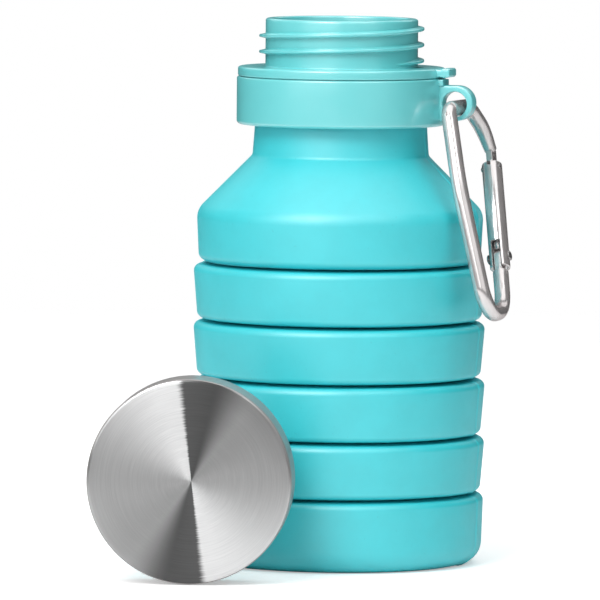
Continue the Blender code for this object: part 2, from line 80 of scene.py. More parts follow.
# Hard neck and collar
NECK_RADIUS = 18.7
NECK_BORE = 16.6
NECK_TOP = 133.6
FLANGE = (119.5, 121.75)
FLANGE_RADIUS = 25.4
COLLAR = (107.6, 119.3)
COLLAR_RADIUS = 25.65
THREAD_PITCH = 3.9
THREAD_CREST = 20.25
THREAD_START_Z = 122.9
THREAD_START = math.radians(-45)
THREAD_TURNS = 2.25
EYELET_ANGLE = math.radians(-17)
EYELET = Vector((29.4, 113.2))  # radius and height of the hole's middle
EYELET_RADIUS = 4.3
EYELET_RIM_SHIFT = Vector((0.3, 0.25))  # the rim is thicker away from the load
EYELET_HOLE = 3.1

# Cap, in its own frame: its steel face at z 0, looking along +Z
CAP_RADIUS = 24.6
CAP_HEIGHT = 15.4
CAP_LEAN = math.radians(0.6)
CAP_TURN = math.radians(3.2)
CAP_PLACE = Vector((-35.9, -62.8))
LINER_BORE = 21.1

# Carabiner, in its own plane, and its gate, as in the CAD
SPINE_TOP = Vector((-8.2, 0))
SPINE_BOW = Vector((-14.6, -18.5))
TOP_BEND = Vector((9.6, -0.1))
NOSE_CORNER = Vector((17.4, -6.1))
NOSE_TIP = Vector((19.6, -11.6))
GATE_TOP_AXIS = Vector((21.2, -8.6))
FOOT_GATE_SIDE = Vector((-2.4, -51))
FOOT_SPINE_SIDE = Vector((-17.3, -51))
GATE_RIVET_Z = -38.0
GATE_RADIUS = 2.5
GATE_TOP = 26.2
GATE_BOTTOM = -3.0
TONGUE_RADIUS = 1.65

# Studio: a light tent's walls as (name, azimuth from the camera, half width in degrees, radiance)
WALL_DISTANCE, WALL_MIDDLE, WALL_HEIGHT = 1.3, 0.72, 1.02
WALLS = (
    ("front_left", -31.0, 29.0, 1.9),
    ("left", -97.5, 37.5, 0.35),
    ("front_right", 32.5, 26.5, 0.85),
)

# Its softboxes, as (name, place, the point it faces, size, radiance)
SOFTBOXES = (
    ("key", (-0.62, -1.25, 1.30), (-0.02, -0.03, 0.05), (0.75, 0.75), 9.8),
    ("fill", (0.7, -1.0, 1.35), (0, 0, 0.07), (0.75, 0.75), 2.4),
    ("top", (0.0, 0.0, 1.3), (0, 0, 0.07), (1.6, 1.3), 1.4),
    ("back", (0.0, 1.2, 1.0), (0, 0, 0.07), (2.6, 0.7), 1.1),
)
ROOM = 0.04  # radiance of everything else round the object
FLOOR_GLOW = 0.42  # added to the floor for the camera alone, so that it goes white
FLOOR_FADE = (0.25, 0.9)  # radii between which the floor fades out

CAMERA_PLACE = Vector((-0.0097, -2.196, 0.2150))
CAMERA_AIM = Vector((-0.0097, 0, 0.0643))
CAMERA_ROLL = math.radians(0.5)
FOCAL_LENGTH, SENSOR_WIDTH = 537.6, 36.0  # mm


# ---------------------------------------------------------------- mesh tools


def filleted(corners, steps=8, closed=True):
    """The points of an outline whose corners are (x, y, fillet radius)."""
    points = []
    for i, (x, y, radius) in enumerate(corners):
        corner = Vector((x, y))
        at_an_end = not closed and i in (0, len(corners) - 1)
        if radius == 0 or at_an_end:
            points.append(corner)
            continue
        before = (Vector(corners[i - 1][:2]) - corner).normalized()
        after = (Vector(corners[(i + 1) % len(corners)][:2]) - corner).normalized()
        half = before.angle(after) / 2
        centre = corner + (before + after).normalized() * radius / math.sin(half)
        start = corner + before * radius / math.tan(half) - centre
        sweep = math.pi - 2 * half
        turn = sweep if before.x * after.y < before.y * after.x else -sweep
        for k in range(steps + 1):
            points.append(centre + Matrix.Rotation(turn * k / steps, 2) @ start)
    return points


def split_long(points, longest):
    """Adds points on an outline's long straight stretches."""
    out = []
    for a, b in zip(points, points[1:] + points[:1]):
        pieces = max(1, math.ceil((b - a).length / longest))
        out += [a.lerp(b, k / pieces) for k in range(pieces)]
    return out


def make_object(name, verts, faces, material, matrix=None, sharp=35):
    """A mesh object from millimetre vertices, welded, with its faces pointing out."""
    mesh = bpy.data.meshes.new(name)
    mesh.from_pydata((np.asarray(verts, float) * MM).tolist(), [], faces)
    shape = bmesh.new()
    shape.from_mesh(mesh)
    bmesh.ops.remove_doubles(shape, verts=shape.verts, dist=1e-6)
    bmesh.ops.delete(shape, geom=[edge for edge in shape.edges if edge.is_wire], context="EDGES")
    bmesh.ops.recalc_face_normals(shape, faces=shape.faces)
    shape.to_mesh(mesh)
    shape.free()
    mesh.materials.append(material)
    mesh.shade_smooth()
    mesh.set_sharp_from_angle(angle=math.radians(sharp))
    obj = bpy.data.objects.new(name, mesh)
    bpy.context.scene.collection.objects.link(obj)
    if matrix is not None:
        obj.matrix_world = matrix
    return obj


def grid_faces(rows, columns, wrap_rows, wrap_columns):
    """Quads over a grid of vertices, numbered row by row."""
    faces = []
    for i in range(rows if wrap_rows else rows - 1):
        for j in range(columns if wrap_columns else columns - 1):
            a, b = i * columns, (i + 1) % rows * columns
            k = (j + 1) % columns
            faces.append((a + j, b + j, b + k, a + k))
    return faces


def tube_faces(rows, columns):
    """Quads along a tube, and a face over each of its ends."""
    faces = grid_faces(rows, columns, False, True)
    faces.append(list(range(columns)))
    faces.append([(rows - 1) * columns + j for j in range(columns)])
    return faces


def ring_angles(count, seams=()):
    """Even angles round the axis, with closer ones by each seam."""
    angles = [math.tau * k / count for k in range(count)]
    step = SEAM_HALF_WIDTH / 2 / BAND_TOP_RADIUS
    for seam in seams:
        seam %= math.tau
        span = step * (SEAM_STEPS + 1)
        angles = [a for a in angles if abs(a - seam) > span]
        angles += [seam + step * k for k in range(-SEAM_STEPS, SEAM_STEPS + 1)]
    return np.array(sorted(angles))


def revolve(name, theta, r, z, material, matrix=None):
    """A grid of angles, radii and heights, as a closed surface round Z."""
    verts = np.stack([r * np.cos(theta), r * np.sin(theta), z], axis=-1).reshape(-1, 3)
    return make_object(name, verts, grid_faces(*theta.shape, True, True), material, matrix)


def turned(name, corners, material, relief=None, angles=None, matrix=None, steps=8, longest=4.0):
    """A closed outline of (radius, height, fillet) turned about Z. relief(angle, radius) stands it proud."""
    points = split_long(filleted(corners, steps), longest)
    profile = np.array([(max(p.x, 0), p.y) for p in points])
    angles = ring_angles(AROUND) if angles is None else angles
    following = np.roll(profile, -1, axis=0)
    ahead = following - np.roll(profile, 1, axis=0)
    normal = np.stack([ahead[:, 1], -ahead[:, 0]], axis=1)
    normal /= np.linalg.norm(normal, axis=1)[:, None] + 1e-12
    area = np.sum(profile[:, 0] * following[:, 1] - following[:, 0] * profile[:, 1])
    normal *= np.sign(area)
    theta, r = np.meshgrid(angles, profile[:, 0], indexing="ij")
    z = np.broadcast_to(profile[:, 1], theta.shape)
    if relief is not None:
        out = relief(theta, r)
        r, z = r + out * normal[:, 0], z + out * normal[:, 1]
    return revolve(name, theta, r, z, material, matrix)


def rounded_plate(name, outer, inner, thickness, bevel, material, matrix):
    """A plate between two outlines with as many points each, along Y, with rounded edges.

    inner may be a single point, and then the plate has no hole.
    """
    count = len(outer)
    arc = [math.pi / 2 * k / 4 for k in range(5)]
    section = []  # (share of the bevel inward from the edge, height from the middle, on the outer outline)
    half = thickness / 2
    section += [(1 - math.sin(a), half - bevel * (1 - math.cos(a)), True) for a in arc]
    section += [(1 - math.cos(a), -half + bevel * (1 - math.sin(a)), True) for a in arc]
    if len(inner) > 1:
        section += [(1 - math.sin(a), -half + bevel * (1 - math.cos(a)), False) for a in arc]
        section += [(1 - math.cos(a), half - bevel * (1 - math.sin(a)), False) for a in arc]
    verts = []
    for i in range(count):
        for inward, height, on_outer in section:
            line = outer if on_outer else inner
            a, b = line[i - 1], line[(i + 1) % count]
            across = Vector((a.y - b.y, b.x - a.x)).normalized()
            if not on_outer:
                across = -across
            place = line[i] + across * bevel * inward
            verts.append((place.x, height, place.y))
    faces = grid_faces(count, len(section), True, len(inner) > 1)
    if len(inner) == 1:
        faces.append([i * len(section) for i in range(count)])
        faces.append([i * len(section) + len(section) - 1 for i in range(count)])
    return make_object(name, verts, faces, material, matrix)


def circle(centre, radius, count):
    """Points round a circle, counter-clockwise."""
    angles = [math.tau * k / count for k in range(count)]
    return [centre + Vector((math.cos(a), math.sin(a))) * radius for a in angles]


def resampled(points, count):
    """The same closed outline with that many points, evenly spaced."""
    loop = points + points[:1]
    lengths = np.cumsum([0] + [(b - a).length for a, b in zip(loop, loop[1:])])
    at = np.linspace(0, lengths[-1], count, endpoint=False)
    xs = np.interp(at, lengths, [p.x for p in loop])
    ys = np.interp(at, lengths, [p.y for p in loop])
    return [Vector(pair) for pair in zip(xs, ys)]


def joined(name, pieces):
    """Several objects of one frame as one."""
    shape = bmesh.new()
    target = pieces[0]
    back = target.matrix_world.inverted()
    for piece in pieces:
        copy = piece.data.copy()
        copy.transform(back @ piece.matrix_world)
        shape.from_mesh(copy)
        bpy.data.meshes.remove(copy)
    shape.to_mesh(target.data)
    shape.free()
    target.data.set_sharp_from_angle(angle=math.radians(35))
    for piece in pieces[1:]:
        bpy.data.objects.remove(piece)
    target.name = name
    return target


def upright(obj):
    """Puts an object's placement into its mesh, so that the box round it lies along the frame's axes."""
    obj.data.transform(obj.matrix_world)
    obj.matrix_world = Matrix()
    return obj


def cut(target, tools, bevel):
    """Cuts tools away from a target, and rounds the edges that this leaves."""
    for tool in tools:
        modifier = target.modifiers.new(tool.name, "BOOLEAN")
        modifier.operation = "DIFFERENCE"
        modifier.object = tool
        modifier.solver = "EXACT"
    edges = target.modifiers.new("edges", "BEVEL")
    edges.width = bevel * MM
    edges.segments = 2
    edges.limit_method = "ANGLE"
    edges.angle_limit = math.radians(40)
    edges.use_clamp_overlap = True
    bpy.context.view_layer.update()
    cooked = bpy.data.meshes.new_from_object(target.evaluated_get(bpy.context.evaluated_depsgraph_get()))
    target.modifiers.clear()
    target.data = cooked
    cooked.shade_smooth()
    cooked.set_sharp_from_angle(angle=math.radians(40))
    for tool in tools:
        bpy.data.objects.remove(tool)


def slab(name, size, at, material, matrix):
    """A box, for cutting with."""
    x, y, z = (s / 2 for s in size)
    signs = [(i, j, k) for i in (-1, 1) for j in (-1, 1) for k in (-1, 1)]
    corners = [(at[0] + i * x, at[1] + j * y, at[2] + k * z) for i, j, k in signs]
    faces = [(0, 1, 3, 2), (4, 6, 7, 5), (0, 4, 5, 1), (2, 3, 7, 6), (0, 2, 6, 4), (1, 5, 7, 3)]
    return make_object(name, corners, faces, material, matrix)


def settle(piece, body, slot, *nodes):
    """Makes a piece ride with a body and stand for CAD nodes, whose own meshes it hides. The slot is not
    used.
    """
    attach(piece, body)
    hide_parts(*nodes)


# ---------------------------------------------------------------- materials


class Look:
    """A material's node tree, built a line at a time."""

    def __init__(self, name, **sockets):
        self.material = bpy.data.materials.new(name)
        self.material.use_nodes = True
        self.tree = self.material.node_tree
        self.shader = self.tree.nodes["Principled BSDF"]
        for socket, value in sockets.items():
            self.shader.inputs[socket.replace("_", " ")].default_value = value
        self.place = self.node("ShaderNodeTexCoord").outputs["Object"]

    def node(self, kind, inputs=(), **settings):
        """A node with its settings, and its inputs as (name or number, value or socket)."""
        node = self.tree.nodes.new(kind)
        for key, value in settings.items():
            setattr(node, key, value)
        for key, value in inputs:
            if isinstance(value, bpy.types.NodeSocket):
                self.tree.links.new(value, node.inputs[key])
            else:
                node.inputs[key].default_value = value
        return node

    def maths(self, operation, a, b=0.0):
        return self.node("ShaderNodeMath", ((0, a), (1, b)), operation=operation).outputs[0]

    def length(self, x, y):
        """How long the vector of two values is."""
        squares = self.maths("ADD", self.maths("MULTIPLY", x, x), self.maths("MULTIPLY", y, y))
        return self.maths("SQRT", squares)

    def noise(self, scale, detail=2.0, roughness=0.5, vector=None):
        node = self.node("ShaderNodeTexNoise", (
            ("Vector", vector or self.place), ("Scale", scale), ("Detail", detail), ("Roughness", roughness),
        ))
        return node.outputs["Fac"]

    def spread(self, value, low, high, start=0.0, end=1.0):
        """Maps a value from start..end to low..high."""
        node = self.node("ShaderNodeMapRange", (
            ("Value", value), ("From Min", start), ("From Max", end), ("To Min", low), ("To Max", high),
        ))
        return node.outputs["Result"]

    def mixed(self, factor, a, b):
        node = self.node("ShaderNodeMix", data_type="RGBA")
        for socket, value in ((node.inputs[0], factor), (node.inputs[6], a), (node.inputs[7], b)):
            if isinstance(value, bpy.types.NodeSocket):
                self.tree.links.new(value, socket)
            else:
                socket.default_value = value
        return node.outputs[2]

    def ramp(self, value, stops):
        """A grey that runs smoothly through (position, brightness) stops."""
        node = self.node("ShaderNodeValToRGB", ((0, value),))
        node.color_ramp.interpolation = "EASE"
        elements = node.color_ramp.elements
        while len(elements) < len(stops):
            elements.new(0.5)
        for element, (position, brightness) in zip(elements, stops):
            element.position = position
            element.color = (brightness, brightness, brightness, 1)
        return node.outputs["Color"]

    def bump(self, height, strength, distance):
        node = self.node("ShaderNodeBump", (
            ("Height", height), ("Strength", strength), ("Distance", distance),
        ))
        self.tree.links.new(node.outputs["Normal"], self.shader.inputs["Normal"])

    def feed(self, socket, value):
        self.tree.links.new(value, self.shader.inputs[socket])


def silicone_look():
    """Soft-touch silicone: a silky skin with faint mottling, a few dust specks and uneven sheen."""
    look = Look("silicone_skin", IOR=1.7, Specular_IOR_Level=1.0)
    mottle = look.spread(look.noise(90.0, 4.0, 0.6), 0.0, 1.0, 0.35, 0.65)
    colour = look.mixed(mottle, (0.008, 0.570, 0.630, 1), (0.012, 0.610, 0.675, 1))
    specks = look.spread(look.noise(1300.0, 1.0, 0.4), 0.0, 0.3, 0.735, 0.80)
    colour = look.mixed(specks, colour, (0.0, 0.42, 0.48, 1))
    look.feed("Base Color", colour)
    look.feed("Roughness", look.spread(look.noise(260.0, 3.0, 0.6), 0.44, 0.56))
    swell = look.maths("MULTIPLY", look.noise(420.0, 2.0), 1.4)
    grain = look.maths("ADD", look.noise(5200.0, 2.0, 0.6), swell)
    look.bump(grain, 0.10, 0.00006)
    return look.material


def plastic_look():
    """Glossy moulded plastic, very slightly wavy, with fine handling marks."""
    look = Look("moulded_plastic", IOR=1.8, Specular_IOR_Level=1.0, Coat_Weight=0.4, Coat_Roughness=0.07)
    cloud = look.spread(look.noise(45.0, 3.0, 0.5), 0.0, 1.0, 0.35, 0.65)
    look.feed("Base Color", look.mixed(cloud, (0.130, 0.640, 0.660, 1), (0.150, 0.675, 0.695, 1)))
    look.feed("Roughness", look.spread(look.noise(320.0, 2.0, 0.5), 0.30, 0.34, 0.3, 0.7))
    look.bump(look.noise(130.0, 2.0), 0.10, 0.0002)
    return look.material


def round_brush(look):
    """Noise drawn out along circles about the object's Z axis."""
    x, y, z = look.node("ShaderNodeSeparateXYZ", (("Vector", look.place),)).outputs
    radius = look.length(x, y)
    safe = look.maths("MAXIMUM", radius, 0.0004)  # never nought, so that the middle has a direction
    turn_x, turn_y = look.maths("DIVIDE", x, safe), look.maths("DIVIDE", y, safe)
    line = look.maths("ADD", look.maths("MULTIPLY", radius, 5200.0), look.maths("MULTIPLY", z, 3900.0))
    vector = look.node("ShaderNodeCombineXYZ", (
        ("X", line), ("Y", look.maths("MULTIPLY", turn_x, 1.6)), ("Z", look.maths("MULTIPLY", turn_y, 1.6)),
    ))
    return look.noise(1.0, 5.0, 0.65, vector.outputs[0])


# A disc brushed in circles shines as a bow tie. Here that bow tie is a painted highlight in the base colour,
# set by angle about the cap's axis and the same on its two halves. Going round a half turn from a crisp
# edge, the painted grey is bright, fades to a middle grey and is dark by the
# next: (share of the half turn, grey).
PAINTED_BOW_TIE = ((0, 0.1), (0.025, 0.7), (0.15, 0.7), (0.5, 0.5), (0.75, 0.4), (0.9, 0.1), (1, 0.1))
# angle about the cap's axis of the painted bow tie's crisp edge
PAINTED_BOW_TIE_EDGE = math.radians(95)
# the painted bow tie is centred on this shifted middle too
BRUSH_CENTRE = (0.6, 0.2)  # the disc was brushed a little off its own middle
# the painted bow tie and the full metallic face end at this depth
FACE_DEPTH = 0.2  # how far below the disc's face its finish goes on round the edge


def cap_steel_look():
    """Stainless steel brushed in circles, with its bow tie of highlight painted into the base colour by
    angle across the disc, over a real anisotropic reflection.
    """
    look = Look("brushed_steel", Anisotropic=0.7, Anisotropic_Rotation=0.25)
    middle = (BRUSH_CENTRE[0] * MM, BRUSH_CENTRE[1] * MM, 0)
    shifted = look.node("ShaderNodeVectorMath", ((0, look.place), (1, middle)), operation="SUBTRACT")
    look.place = shifted.outputs[0]
    brush = round_brush(look)
    x, y, z = look.node("ShaderNodeSeparateXYZ", (("Vector", look.place),)).outputs
    # painted highlight: bright and dark wedges by angle about the cap's axis, put into the base colour
    from_edge = look.maths("SUBTRACT", look.maths("ARCTAN2", y, x), PAINTED_BOW_TIE_EDGE)
    half_turns = look.maths("ADD", look.maths("DIVIDE", from_edge, math.pi), 3.0)
    wander = look.maths("MULTIPLY", look.maths("SUBTRACT", brush, 0.5), 0.04)
    painted_shine = look.ramp(look.maths("FRACT", look.maths("ADD", half_turns, wander)), PAINTED_BOW_TIE)
    # only the face carries the painted bow tie; the side gets a plain grey
    on_face = look.maths("GREATER_THAN", z, -FACE_DEPTH * MM)
    painted_shine = look.mixed(on_face, (0.36, 0.345, 0.34, 1), painted_shine)
    look.feed("Metallic", look.spread(on_face, 0.3, 1.0))
    streak = look.node("ShaderNodeMix", data_type="RGBA", blend_type="MULTIPLY")
    streak.inputs[0].default_value = 1.0
    look.tree.links.new(painted_shine, streak.inputs[6])
    line = look.spread(brush, 0, 1, 0.3, 0.7)
    tone = look.mixed(line, (0.90, 0.90, 0.905, 1), (1.07, 1.07, 1.07, 1))
    look.tree.links.new(tone, streak.inputs[7])
    look.feed("Base Color", streak.outputs[2])
    look.feed("Roughness", look.spread(brush, 0.29, 0.34, 0.3, 0.7))
    tangent = look.node("ShaderNodeTangent", direction_type="RADIAL", axis="Z")
    look.tree.links.new(tangent.outputs["Tangent"], look.shader.inputs["Tangent"])
    look.bump(brush, 0.04, 0.00002)
    return look.material


def polished_look(name, colour, roughness, metallic):
    """Polished metal with faint hairlines and smears."""
    look = Look(name, Metallic=metallic, IOR=1.5, Specular_Tint=(0.5, 0.45, 0.45, 1))
    smear = look.spread(look.noise(180.0, 3.0, 0.6), 0, 1, 0.35, 0.65)
    darker = tuple(c * 0.9 for c in colour)
    look.feed("Base Color", look.mixed(smear, (*darker, 1), (*colour, 1)))
    hairlines = look.noise(1500.0, 3.0, 0.7)
    look.feed("Roughness", look.spread(hairlines, roughness * 0.9, roughness * 1.15, 0.3, 0.7))
    look.bump(look.noise(300.0, 2.0), 0.03, 0.0001)
    return look.material


def gasket_look():
    """Milky seal rubber."""
    look = Look("seal_rubber", IOR=1.42)
    cloud = look.noise(300.0, 3.0)
    look.feed("Base Color", look.mixed(cloud, (0.78, 0.79, 0.77, 1), (0.88, 0.88, 0.86, 1)))
    look.feed("Roughness", look.spread(look.noise(900.0, 2.0), 0.45, 0.6))
    look.bump(look.noise(3000.0, 2.0), 0.1, 0.00005)
    return look.material


# ---------------------------------------------------------------- silicone body


def seam_relief(least_radius, phase=0.0):
    """The parting ridge on what lies outside a radius, and the faint unevenness of soft mouldings."""

    def relief(theta, r):
        out = np.zeros_like(r)
        for seam in SEAM_ANGLES:
            away = np.abs((theta - seam + math.pi) % math.tau - math.pi) * r
            out += SEAM_HEIGHT * np.exp(-((away / SEAM_HALF_WIDTH) ** 2))
        uneven = 0.05 * np.sin(2 * theta + phase) + 0.03 * np.sin(5 * theta + 2.3 * phase)
        return (out - 0.06 + uneven) * np.clip((r - least_radius) / 0.5, 0, 1)

    return relief


def build_base(silicone):
    top = FIRST_PLEAT - GAP / 2
    piece = turned("silicone_base", [
        (0, 0, 0),
        (12, 0, 0.3),  # a shallow ring is sunk in the underside
        (13, 0.8, 0.3),
        (23, 0.8, 0.3),
        (24, 0, 0.3),
        (BAND_TOP_RADIUS - 0.8, 0, 5.5),
        (BAND_TOP_RADIUS - 0.2, top, 1.7),
        (BORE, top, 0.4),
        (BORE, 2.8, 3.0),
        (0, 2.8, 0),
    ], silicone, seam_relief(30.0, 0.4), ring_angles(AROUND, SEAM_ANGLES))
    settle(piece, "base", "silicone", "base_cup")


def build_band(number, silicone):
    bottom = FIRST_PLEAT + (number - 1) * PITCH + GAP / 2
    top = bottom + PITCH - GAP
    piece = turned(f"silicone_band_{number}", [
        (BORE, bottom, 0.4),
        (BAND_BOTTOM_RADIUS, bottom, 1.6),
        (BAND_TOP_RADIUS, top, 1.7),
        (BORE, top, 0.4),
    ], silicone, seam_relief(33.0, 1.7 * number), ring_angles(AROUND, SEAM_ANGLES))
    settle(piece, BODIES_UP[number], "silicone", f"pleat_band_{number}")


def build_web(number, silicone):
    """A fold's thin web: shut, it is two flaps together. It opens into a shallow channel."""
    middle = FIRST_PLEAT + (number - 1) * PITCH
    reach, root = 0.85, BORE + 0.6
    crotch, wall = 27.6, 0.9
    half_flap = 0.42  # the most a flap goes up or down from its middle when shut
    steps = 14
    centre = []
    for k in range(-steps, steps + 1):
        share = k / steps
        centre.append(Vector((crotch + (root - crotch) * abs(share) ** 1.25, middle + reach * share)))
    outside, inside = [], []
    for i, point in enumerate(centre):
        a, b = centre[max(i - 1, 0)], centre[min(i + 1, len(centre) - 1)]
        along = (b - a).normalized()
        across = Vector((along.y, -along.x)) * wall / 2
        squeeze = min(1.0, half_flap / max(abs(across.y), 1e-9))
        outside.append(point + Vector((across.x, across.y * squeeze)))
        inside.append(point - Vector((across.x, across.y * squeeze)))
    loop = outside + inside[::-1]
    piece = turned_loop(f"silicone_web_{number}", loop, silicone)
    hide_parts(f"fold_web_{number}")
    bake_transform(piece)


def turned_loop(name, loop, material):
    """A closed outline of points turned about Z."""
    profile = np.array([tuple(p) for p in loop])
    theta, r = np.meshgrid(ring_angles(AROUND), profile[:, 0], indexing="ij")
    return revolve(name, theta, r, np.broadcast_to(profile[:, 1], theta.shape), material)


def build_shoulder(silicone):
    bottom = FIRST_PLEAT + (PLEATS - 1) * PITCH + GAP / 2
    piece = turned("silicone_shoulder", [
        (BORE, bottom, 0.4),
        (34.7, bottom, 2.0),
        (35.3, 86.4, 5.0),
        (21.75, 100.1, 1.5),
        (21.15, COLLAR[0], 0),
        (21.15, 115.4, 0),
        (24.3, 115.4, 0),
        (24.3, 119.0, 0),
        (19.0, 119.0, 0),
        (19.0, 99.5, 1.5),
        (BORE, 85.8, 4.0),
    ], silicone, seam_relief(21.0, 4.7), ring_angles(AROUND, SEAM_ANGLES))
    settle(piece, "shoulder", "silicone", "shoulder")


# ---------------------------------------------------------------- hard neck and collar


def helix(name, wall, crest, start_z, start, turns, material, matrix=None):
    """A rounded thread fin standing out of a wall, with tapered ends."""
    outward = 1 if crest > wall else -1
    reach = abs(crest - wall)
    per_turn = 120
    fade = 14  # steps over which each end rises out of the wall
    count = round(turns * per_turn)
    section = filleted([
        (-0.35, -0.80, 0), (0.12, -0.62, 0.1), (reach, -0.32, 0.28),
        (reach, 0.32, 0.28), (0.12, 0.62, 0.1), (-0.35, 0.80, 0),
    ], 5)
    verts = []
    for k in range(count + 1):
        angle = start + math.tau * k / per_turn
        z = start_z + THREAD_PITCH * k / per_turn
        rise = math.sin(min(k, count - k, fade) / fade * math.pi / 2)
        for x, y in section:
            height = x * rise if x > 0 else x
            r = wall + outward * height
            verts.append((r * math.cos(angle), r * math.sin(angle), z + y * (0.4 + 0.6 * rise)))
    return make_object(name, verts, tube_faces(count + 1, len(section)), material, matrix)


def build_neck(plastic):
    spout = turned("spout", [
        (NECK_BORE, 104.0, 0.3),
        (NECK_RADIUS - 0.8, 104.0, 0.3),
        (NECK_RADIUS - 0.1, 106.0, 0),
        (NECK_RADIUS - 0.1, COLLAR[1], 0),
        (FLANGE_RADIUS - 0.7, COLLAR[1], 0),
        (FLANGE_RADIUS - 0.7, FLANGE[0], 0),
        (FLANGE_RADIUS, FLANGE[0], 0.3),
        (FLANGE_RADIUS, FLANGE[1], 0.55),
        (NECK_RADIUS, FLANGE[1], 0.3),
        (NECK_RADIUS, NECK_TOP, 0.65),
        (NECK_BORE, NECK_TOP, 0.5),
    ], plastic)
    fin = helix("fin", NECK_RADIUS, THREAD_CREST, THREAD_START_Z, THREAD_START, THREAD_TURNS, plastic)
    radial = Matrix.Rotation(EYELET_ANGLE, 4, "Z")
    low, high = FLANGE[0] + 0.35, FLANGE[1] - 0.1
    outline = resampled(filleted([
        (22.0, low, 0.2),
        (26.2, low, 0.5),
        (26.5, low - 0.15, 0.3),
        (28.4, low - 0.15, 0.7),
        (28.4, high + 0.3, 0.6),
        (26.6, high + 0.25, 0.4),
        (26.2, high, 0.5),
        (22.0, high, 0.2),
    ]), 120)
    lug = rounded_plate("lug", outline, [Vector((25, 121))], 6.4, 0.35, plastic, radial)
    piece = joined("spout_and_flange", [spout, fin, lug])
    settle(piece, "shoulder", "plastic", "neck_insert")


def build_collar(plastic):
    ring = turned("ring", [
        (21.65, COLLAR[0], 0.2),
        (COLLAR_RADIUS, COLLAR[0], 1.0),
        (COLLAR_RADIUS, COLLAR[1], 0.45),
        (24.7, COLLAR[1], 0.2),
        (24.7, 115.0, 0),
        (21.65, 115.0, 0),
    ], plastic)
    radial = Matrix.Rotation(EYELET_ANGLE, 4, "Z")
    count = 144
    rim = EYELET + EYELET_RIM_SHIFT
    low, high = rim.y - EYELET_RADIUS, rim.y + EYELET_RADIUS
    end = rim.x + EYELET_RADIUS
    nearly = EYELET_RADIUS * 0.995
    outer = resampled(filleted([
        (25.1, low, 0.3), (end, low, nearly), (end, high, nearly), (25.1, high, 0.3),
    ], 24), count)
    hole = circle(EYELET, EYELET_HOLE, count)
    shift = min(range(count), key=lambda k: (hole[k] - EYELET).angle(outer[0] - EYELET))
    hole = hole[shift:] + hole[:shift]
    ear = rounded_plate("ear", outer, hole, 4.0, 0.35, plastic, radial)
    key = rounded_plate("key", resampled(filleted([
        (24.9, 117.6, 0.1), (26.7, 117.6, 0.2), (26.7, 119.2, 0.2), (24.9, 119.2, 0.1),
    ]), 60), [Vector((26, 118.4))], 5.4, 0.25, plastic, radial)
    piece = joined("collar_with_eyelet", [ring, ear, key])
    settle(piece, "shoulder", "plastic", "collar_ring")


# ---------------------------------------------------------------- cap


def cap_matrix():
    """The cap's frame, its lowest rim on the floor."""
    level = math.cos(CAP_LEAN)
    face = Vector((-math.sin(CAP_TURN) * level, -math.cos(CAP_TURN) * level, math.sin(CAP_LEAN)))
    across = Vector((0, 0, 1)).cross(face).normalized()
    height = CAP_RADIUS * level + CAP_HEIGHT * math.sin(CAP_LEAN)
    turn = Matrix((across, face.cross(across), face)).transposed().to_4x4()
    return Matrix.Translation(Vector((*CAP_PLACE, height)) * MM) @ turn


def build_cap(steel, plastic, seal):
    matrix = cap_matrix()
    inner = CAP_RADIUS - 0.6
    cover = turned("cap_shell", [
        (0, 0, 0),
        (CAP_RADIUS, 0, 0.75),
        (CAP_RADIUS, -CAP_HEIGHT, 0.15),
        (inner, -CAP_HEIGHT, 0.15),
        (inner, -0.6, 0.5),
        (0, -0.6, 0),
    ], steel, matrix=matrix)
    settle(cover, "cap", "cap_steel", "cap_cover")
    roof = -2.7
    body = turned("cap_lining", [
        (0, -0.9, 0),
        (inner - 0.3, -0.9, 0.8),
        (inner - 0.3, -CAP_HEIGHT + 0.3, 0.25),
        (LINER_BORE, -CAP_HEIGHT + 0.3, 0.5),
        (LINER_BORE, roof, 0.3),
        (0, roof, 0),
    ], plastic, matrix=matrix)
    fin = helix("cap_fin", LINER_BORE, LINER_BORE - 1.9, -13.0, THREAD_START, 1.75, plastic, matrix)
    settle(joined("cap_lining", [body, fin]), "cap", "plastic", "cap_liner")
    ring = turned("cap_seal", [
        (15.6, -3.0, 0.1),
        (15.6, -4.2, 0.3),
        (20.6, -4.2, 0.3),
        (20.6, -3.0, 0.1),
    ], seal, matrix=matrix)
    settle(ring, "cap", "gasket_silicone", "cap_gasket")


# ---------------------------------------------------------------- carabiner


def carabiner_matrices():
    """The carabiner's frame and its gate's, from the joints, and the gate's rivet and direction in plane."""
    swing, gate = JOINTS["carabiner_swing"], JOINTS["gate_open"]
    across = -Vector(swing["axis"]).normalized()
    through = -Vector(gate["axis"]).normalized()
    up = across.cross(through).normalized()
    turn = Matrix((across, through, up)).transposed().to_4x4()
    hanging = Matrix.Translation(Vector(swing["pos_m"])) @ turn
    direction = (GATE_TOP_AXIS - FOOT_GATE_SIDE).normalized()
    rivet = GATE_TOP_AXIS + direction * (GATE_RIVET_Z - GATE_TOP_AXIS.y) / direction.y
    lean = math.atan2(direction.x, direction.y)
    at_gate = Matrix.Translation(Vector(gate["pos_m"])) @ turn @ Matrix.Rotation(lean, 4, "Y")
    return hanging, at_gate, rivet, direction


def bar_section():
    """A round bar with eight faint flats."""
    corner, fillet, sides = 2.05, 1.6, 8
    angles = [math.pi / sides + math.tau * k / sides for k in range(sides)]
    return filleted([(corner * math.cos(a), corner * math.sin(a), fillet) for a in angles], 5)


